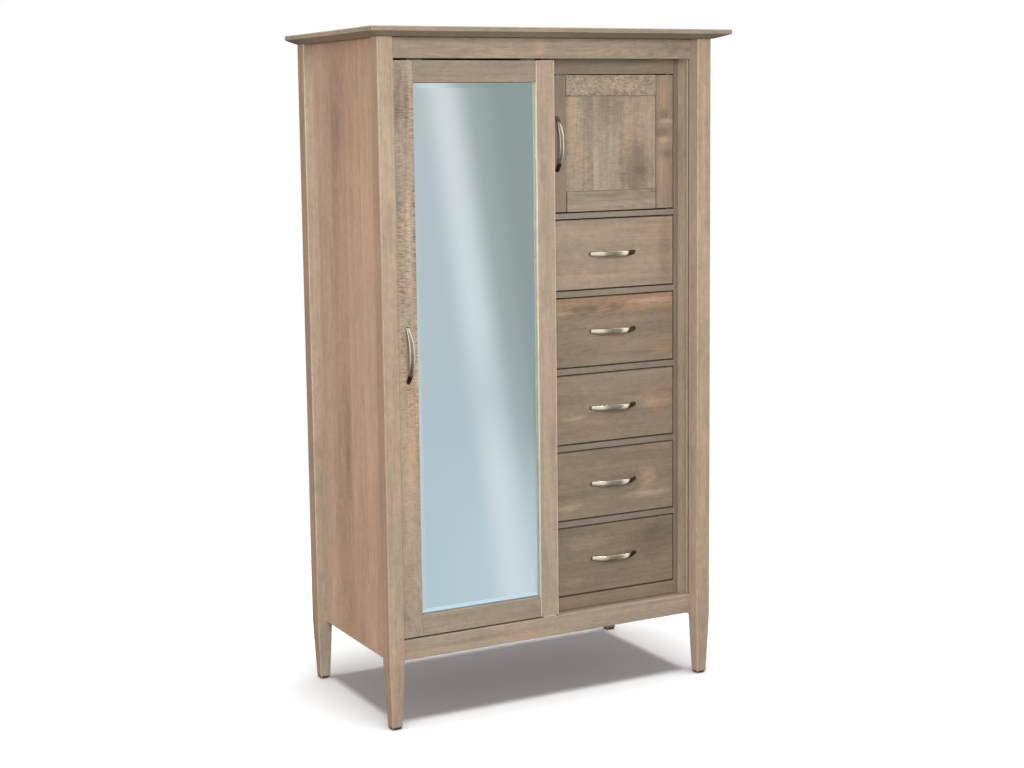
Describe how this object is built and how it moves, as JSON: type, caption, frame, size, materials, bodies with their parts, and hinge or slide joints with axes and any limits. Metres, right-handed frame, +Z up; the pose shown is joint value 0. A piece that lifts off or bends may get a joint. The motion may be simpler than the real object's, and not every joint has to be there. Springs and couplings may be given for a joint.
{
  "type": "chifforobe",
  "caption": "Tall chifforobe on tapered legs: a mirrored sliding door over a hanging side, beside a small panelled door above a bank of inset drawers.",
  "frame": {"origin": "on the floor under the middle of the top board", "axes": "+Z up, -Y towards the front (the doors and drawers face -Y), +X to the right seen from the front"},
  "size_m": [1.079, 0.59, 1.829],
  "materials": {
    "stained_maple": "grey-brown stained maple with a satin clear coat, light saw marks and eased edges",
    "clear_maple": "clear-finished pale maple of the drawer boxes",
    "back_ply": "stained veneered plywood",
    "mirror_glass": "bevelled silvered glass",
    "pewter": "satin cast metal of a warm grey, with a shallow hollow along its outer face",
    "track_steel": "zinc-plated steel",
    "nylon": "off-white nylon"
  },
  "bodies": {
    "case": {"top_board": "stained_maple", "post_front_left": "stained_maple", "post_back_left": "stained_maple", "side_panel_left": "stained_maple", "post_front_right": "stained_maple", "post_back_right": "stained_maple", "side_panel_right": "stained_maple", "front_rail_top": "stained_maple", "front_rail_bottom": "stained_maple", "back_panel": "back_ply", "back_rail": "stained_maple", "bottom_board": "stained_maple", "partition": "stained_maple", "bank_side": "stained_maple", "bank_header": "stained_maple", "bank_base": "stained_maple", "drawer_deck_4": "stained_maple", "drawer_deck_3": "stained_maple", "drawer_deck_2": "stained_maple", "drawer_deck_1": "stained_maple", "compartment_floor": "stained_maple", "hat_shelf": "stained_maple", "garment_rod": "track_steel", "door_track": "track_steel", "door_guide": "nylon", "small_door_pivot_lower": "track_steel", "small_door_pivot_upper": "track_steel", "small_door_catch": "nylon"},
    "mirror_door": {"mirror_door_stile_left": "stained_maple", "mirror_door_stile_right": "stained_maple", "mirror_door_rail_bottom": "stained_maple", "mirror_door_rail_top": "stained_maple", "mirror": "mirror_glass", "mirror_backing": "back_ply", "mirror_door_pull": "pewter", "door_hanger_left": "track_steel", "door_hanger_right": "track_steel"},
    "roller_left": {"door_roller_left": "nylon"},
    "roller_right": {"door_roller_right": "nylon"},
    "small_door": {"small_door_stile_left": "stained_maple", "small_door_stile_right": "stained_maple", "small_door_rail_bottom": "stained_maple", "small_door_rail_top": "stained_maple", "small_door_panel": "stained_maple", "small_door_pull": "pewter"},
    "drawer_1": {"drawer_1_box": "clear_maple", "drawer_1_front": "stained_maple", "drawer_1_pull": "pewter"},
    "drawer_2": {"drawer_2_box": "clear_maple", "drawer_2_front": "stained_maple", "drawer_2_pull": "pewter"},
    "drawer_3": {"drawer_3_box": "clear_maple", "drawer_3_front": "stained_maple", "drawer_3_pull": "pewter"},
    "drawer_4": {"drawer_4_box": "clear_maple", "drawer_4_front": "stained_maple", "drawer_4_pull": "pewter"},
    "drawer_5": {"drawer_5_box": "clear_maple", "drawer_5_front": "stained_maple", "drawer_5_pull": "pewter"}
  },
  "joints": [
    {"name": "mirror_door_slide", "type": "slide", "parent": "case", "child": "mirror_door", "axis": [-1, 0, 0], "range_m": [-0.422, 0]},
    {"name": "roller_left_roll", "type": "hinge", "parent": "mirror_door", "child": "roller_left", "pos_m": [-0.377, -0.16995, 1.7788], "axis": [0, 1, 0], "range_deg": [0, 2140]},
    {"name": "roller_right_roll", "type": "hinge", "parent": "mirror_door", "child": "roller_right", "pos_m": [-0.045, -0.16995, 1.7788], "axis": [0, 1, 0], "range_deg": [0, 2140]},
    {"name": "small_door_swing", "type": "hinge", "parent": "case", "child": "small_door", "pos_m": [0.4272, -0.144, 1.5248], "axis": [0, 0, 1], "range_deg": [0, 95]},
    {"name": "drawer_1_slide", "type": "slide", "parent": "case", "child": "drawer_1", "axis": [0, -1, 0], "range_m": [0, 0.29]},
    {"name": "drawer_2_slide", "type": "slide", "parent": "case", "child": "drawer_2", "axis": [0, -1, 0], "range_m": [0, 0.29]},
    {"name": "drawer_3_slide", "type": "slide", "parent": "case", "child": "drawer_3", "axis": [0, -1, 0], "range_m": [0, 0.29]},
    {"name": "drawer_4_slide", "type": "slide", "parent": "case", "child": "drawer_4", "axis": [0, -1, 0], "range_m": [0, 0.29]},
    {"name": "drawer_5_slide", "type": "slide", "parent": "case", "child": "drawer_5", "axis": [0, -1, 0], "range_m": [0, 0.29]}
  ],
  "couplings": [
    {"joint": "roller_left_roll", "follows": "mirror_door_slide", "rad_per_m": -88.496},
    {"joint": "roller_right_roll", "follows": "mirror_door_slide", "rad_per_m": -88.496}
  ]
}
